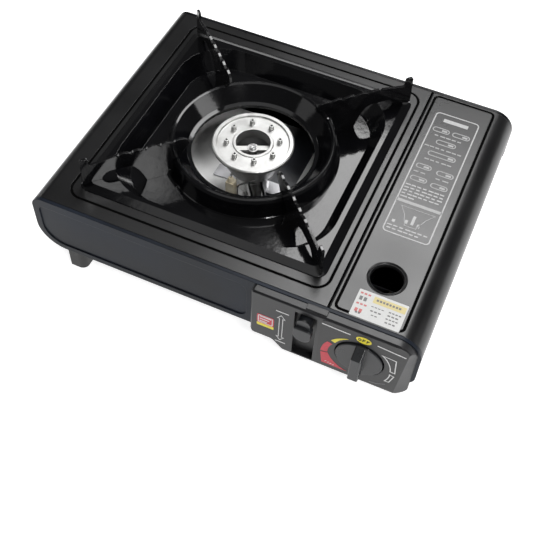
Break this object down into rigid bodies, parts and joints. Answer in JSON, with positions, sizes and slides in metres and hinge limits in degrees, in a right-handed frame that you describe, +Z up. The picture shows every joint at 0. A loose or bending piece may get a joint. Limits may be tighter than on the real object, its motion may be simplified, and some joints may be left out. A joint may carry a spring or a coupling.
{
  "type": "portable cassette gas stove",
  "caption": "Low box-shaped camping gas stove with a round burner in a square enamelled pan, pot arms, cartridge bay under a hinged lid, valve knob and cartridge lever.",
  "frame": {"origin": "centre of the overall bounding box, in the plane the feet stand on", "axes": "+X along the long front towards the cartridge bay, +Y from the control panel to the back, +Z up"},
  "size_m": [0.34, 0.285, 0.1095],
  "materials": {
    "black_paint": "satin black powder paint on steel sheet",
    "black_enamel": "glossy black vitreous enamel on steel",
    "zinc_steel": "zinc-plated steel sheet",
    "bright_steel": "bright steel",
    "burner_aluminium": "cast aluminium, satin",
    "cast_aluminium": "die-cast alloy",
    "brass": "machined brass",
    "ceramic": "cream glazed ceramic",
    "wire_sleeve": "pale silicone sleeve",
    "foot_plastic": "black moulded foot",
    "black_plastic": "black moulded plastic, satin to glossy"
  },
  "bodies": {
    "stove_body": {"base_shell": "black_paint", "front_plate": "black_paint", "rear_plate": "black_paint", "top_plate": "black_paint", "partition": "zinc_steel", "reflector_plate": "bright_steel", "foot_front_left": "foot_plastic", "foot_front_right": "foot_plastic", "foot_rear_left": "foot_plastic", "foot_rear_right": "foot_plastic", "foot_screws": "zinc_steel", "burner_cap": "burner_aluminium", "burner_cup": "burner_aluminium", "burner_screw": "bright_steel", "burner_bracket": "zinc_steel", "mixing_tube": "bright_steel", "injector": "brass", "injector_bracket": "zinc_steel", "gas_pipe": "brass", "electrode_ceramic": "ceramic", "electrode_tip": "bright_steel", "electrode_clip": "zinc_steel", "flame_rod": "bright_steel", "ignition_wire": "wire_sleeve", "regulator_body": "cast_aluminium", "regulator_cover": "zinc_steel", "regulator_nozzle": "brass", "cartridge_stop": "zinc_steel", "igniter_housing": "black_plastic", "control_panel": "black_plastic", "lever_guide": "black_plastic", "panel_screws": "zinc_steel", "hinge_rod": "bright_steel", "hinge_lugs": "zinc_steel"},
    "valve_knob": {"knob": "black_plastic", "valve_stem": "brass", "ignition_cam": "black_plastic"},
    "igniter_plunger": {"igniter_plunger": "brass"},
    "cartridge_lever": {"lever_pad": "black_plastic", "lever_plate": "zinc_steel"},
    "cartridge_yoke": {"cartridge_yoke": "zinc_steel"},
    "bay_lid": {"lid": "black_paint"},
    "pot_support": {"support_pan": "black_enamel", "burner_ring": "black_enamel", "arm_front_left": "black_enamel", "arm_front_right": "black_enamel", "arm_rear_left": "black_enamel", "arm_rear_right": "black_enamel"}
  },
  "joints": [
    {"name": "knob_turn", "type": "hinge", "parent": "stove_body", "child": "valve_knob", "pos_m": [0.125, -0.12, 0.043], "axis": [0, -1, 0], "range_deg": [0, 110]},
    {"name": "igniter_slide", "type": "slide", "parent": "stove_body", "child": "igniter_plunger", "axis": [-1, 0, 0], "range_m": [0, 0.0031]},
    {"name": "lever_slide", "type": "slide", "parent": "stove_body", "child": "cartridge_lever", "axis": [0, 0, -1], "range_m": [0, 0.018]},
    {"name": "yoke_slide", "type": "slide", "parent": "stove_body", "child": "cartridge_yoke", "axis": [0, -1, 0], "range_m": [0, 0.0061]},
    {"name": "lid_hinge", "type": "hinge", "parent": "stove_body", "child": "bay_lid", "pos_m": [0.0934, 0.0095, 0.0771], "axis": [0, -1, 0], "range_deg": [0, 95]},
    {"name": "pot_support_lift", "type": "slide", "parent": "stove_body", "child": "pot_support", "axis": [0, 0, 1], "range_m": [0, 0.08]}
  ],
  "couplings": [
    {"joint": "igniter_slide", "follows": "knob_turn", "m_per_rad": 0.0015626},
    {"joint": "yoke_slide", "follows": "lever_slide", "ratio": 0.33333}
  ]
}
